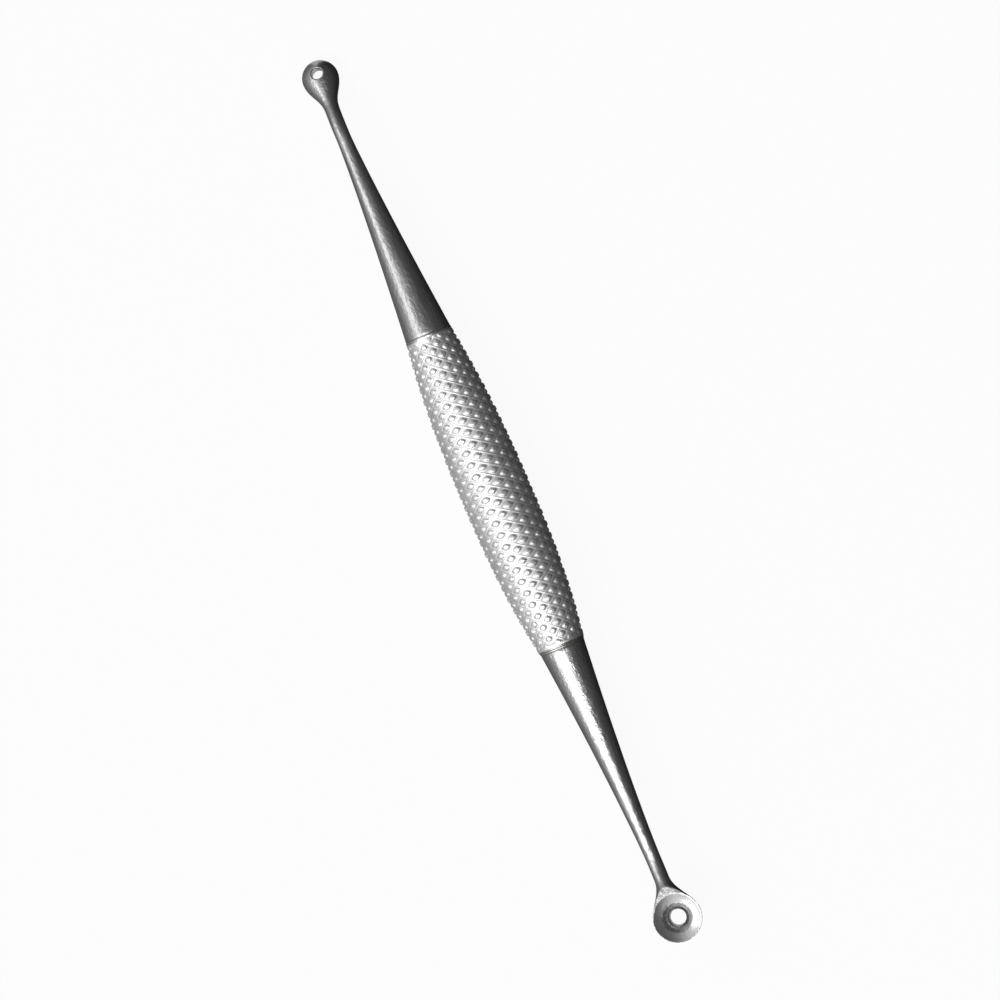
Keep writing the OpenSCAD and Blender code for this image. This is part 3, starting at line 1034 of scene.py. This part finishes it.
def floor_paper():
    material = bpy.data.materials.new("floor_paper")
    tree = Tree(material)
    light = tree.add("ShaderNodeLightPath")
    outputs = light.socket.node.outputs
    seen = Wire(tree, outputs["Is Camera Ray"]) + Wire(tree, outputs["Is Glossy Ray"])
    seen = seen + Wire(tree, outputs["Is Transmission Ray"])
    grey = (PAPER_GREY, PAPER_GREY, PAPER_GREY, 1)
    paper = tree.add("ShaderNodeBsdfDiffuse", None, {"Color": grey})
    white = tree.add("ShaderNodeEmission", None, {"Color": (1, 1, 1, 1), "Strength": 1.0})
    factor = tree.between(seen, 0.0, 1.0) * WHITE_SHARE
    shader = tree.add("ShaderNodeMixShader", None, {0: factor, 1: paper, 2: white})
    tree.add("ShaderNodeOutputMaterial", None, {"Surface": shader})
    return material


def card_paint(name, grey):
    material = bpy.data.materials.new(name)
    tree = Tree(material)
    paint = tree.add("ShaderNodeBsdfDiffuse", None, {"Color": (grey, grey, grey, 1)})
    tree.add("ShaderNodeOutputMaterial", None, {"Surface": paint})
    return material


floor = flat_sheet(
    "floor", (-FLOOR_HALF, -FLOOR_HALF), (FLOOR_HALF, FLOOR_HALF), 0, floor_paper()
)
grey_card = flat_sheet(
    "grey_card", (-CARD_HALF_X, -CARD_HALF_Y), (CARD_HALF_X, GREY_CARD_Y), CARD_LIFT,
    card_paint("grey_card", GREY_CARD_GREY),
)
black_card = flat_sheet(
    "black_card", (-CARD_HALF_X, BLACK_CARD_Y), (CARD_HALF_X, CARD_HALF_Y), CARD_LIFT,
    card_paint("black_card", BLACK_CARD_GREY),
)
for card in (grey_card, black_card):
    card.visible_camera = False
    card.visible_diffuse = False
    card.visible_shadow = False
    card.visible_transmission = False
print(f"open floor between the cards: {(BLACK_CARD_Y - GREY_CARD_Y) / MM:.1f} mm")

# %% [markdown]
# Two soft lamps hang above and to the left, so far off that the whole tool sees each of them in
# one direction. The bright one lies towards the large spoon. The large shank's cone leans to that
# side and carries it as a broad band, while the small shank's cone leans away and misses it. The
# weak one is a long strip further to the left, and draws a thin line down both ends of the tool.
# Straight above is the dark of the camera itself. The room is pale on the left and nearly black
# on the right, which gives the steel its dark side.

# %% Lamps and room
LAMP_FAR = 3.0
# The room's grey by how far round it is: 0.25 at the left horizon, 0.5 straight up, 0.75 right
ROOM_GREYS = [
    (0.0, 0.3), (0.25, 0.4), (0.31, 0.5), (0.36, 0.6), (0.42, 0.6), (0.48, 0.4),
    (0.53, 0.2), (0.6, 0.09), (0.75, 0.05), (1.0, 0.06),
]
# The dark spot about the camera: its middle, how narrow it is each way, and how it fades
SPOT_ALONG, SPOT_ACROSS = -0.1, 0.02
SPOT_NARROW_ALONG, SPOT_NARROW_ACROSS = 5.0, 3.0
SPOT_FADE = (0.5, 1.4)
SPOT_SHADE = 0.2


def hang_lamp(name, across, along, length, width, radiance):
    """A soft lamp seen from the tool at two angles: across to the right, along to the large end."""
    data = bpy.data.lights.new(name, "AREA")
    data.shape = "RECTANGLE"
    data.size = length
    data.size_y = width
    data.energy = radiance * math.pi * length * width
    lamp = bpy.data.objects.new(name, data)
    bpy.context.scene.collection.objects.link(lamp)
    towards = Vector((math.tan(along), math.tan(across), 1)).normalized()
    side = towards.cross(Vector((1, 0, 0))).normalized()
    basis = Matrix((side.cross(towards), side, towards)).transposed().to_4x4()
    lamp.matrix_world = Matrix.Translation(towards * LAMP_FAR) @ basis
    print(f"{name}: {length} by {width} m")


def room_light():
    world = bpy.data.worlds.new("room")
    bpy.context.scene.world = world
    tree = Tree(world)
    direction = tree.add("ShaderNodeTexCoord", out="Generated")
    split = tree.add("ShaderNodeSeparateXYZ", None, {0: direction})
    parts = split.socket.node.outputs
    along, across, up = (Wire(tree, parts[k]) for k in range(3))
    turn = tree.maths("ARCTAN2", across, up) * (0.5 / math.pi) + 0.5
    grey = tree.add("ShaderNodeValToRGB", {"stops": ROOM_GREYS}, {"Fac": turn})
    off_x = (along - SPOT_ALONG) * SPOT_NARROW_ALONG
    off_y = (across - SPOT_ACROSS) * SPOT_NARROW_ACROSS
    gap = tree.maths("SQRT", off_x * off_x + off_y * off_y)
    shade = tree.between(gap, *SPOT_FADE) * (1 - SPOT_SHADE) + SPOT_SHADE
    colour = tree.blend(shade, (0, 0, 0, 1), grey)
    light = tree.add("ShaderNodeBackground", None, {"Color": colour, "Strength": 1.0})
    tree.add("ShaderNodeOutputWorld", None, {"Surface": light})


hang_lamp(
    "end_lamp", across=math.radians(-16), along=math.radians(20),
    length=0.74, width=2.7, radiance=7.5,
)
hang_lamp(
    "strip_lamp", across=math.radians(-42), along=math.radians(-4),
    length=3.0, width=1.2, radiance=1.8,
)
room_light()

# %% [markdown]
# The Standard view shows a colour as it is written, while Blender's usual one, AgX, makes white
# greyer.

# %% View settings
bpy.context.scene.view_settings.view_transform = "Standard"
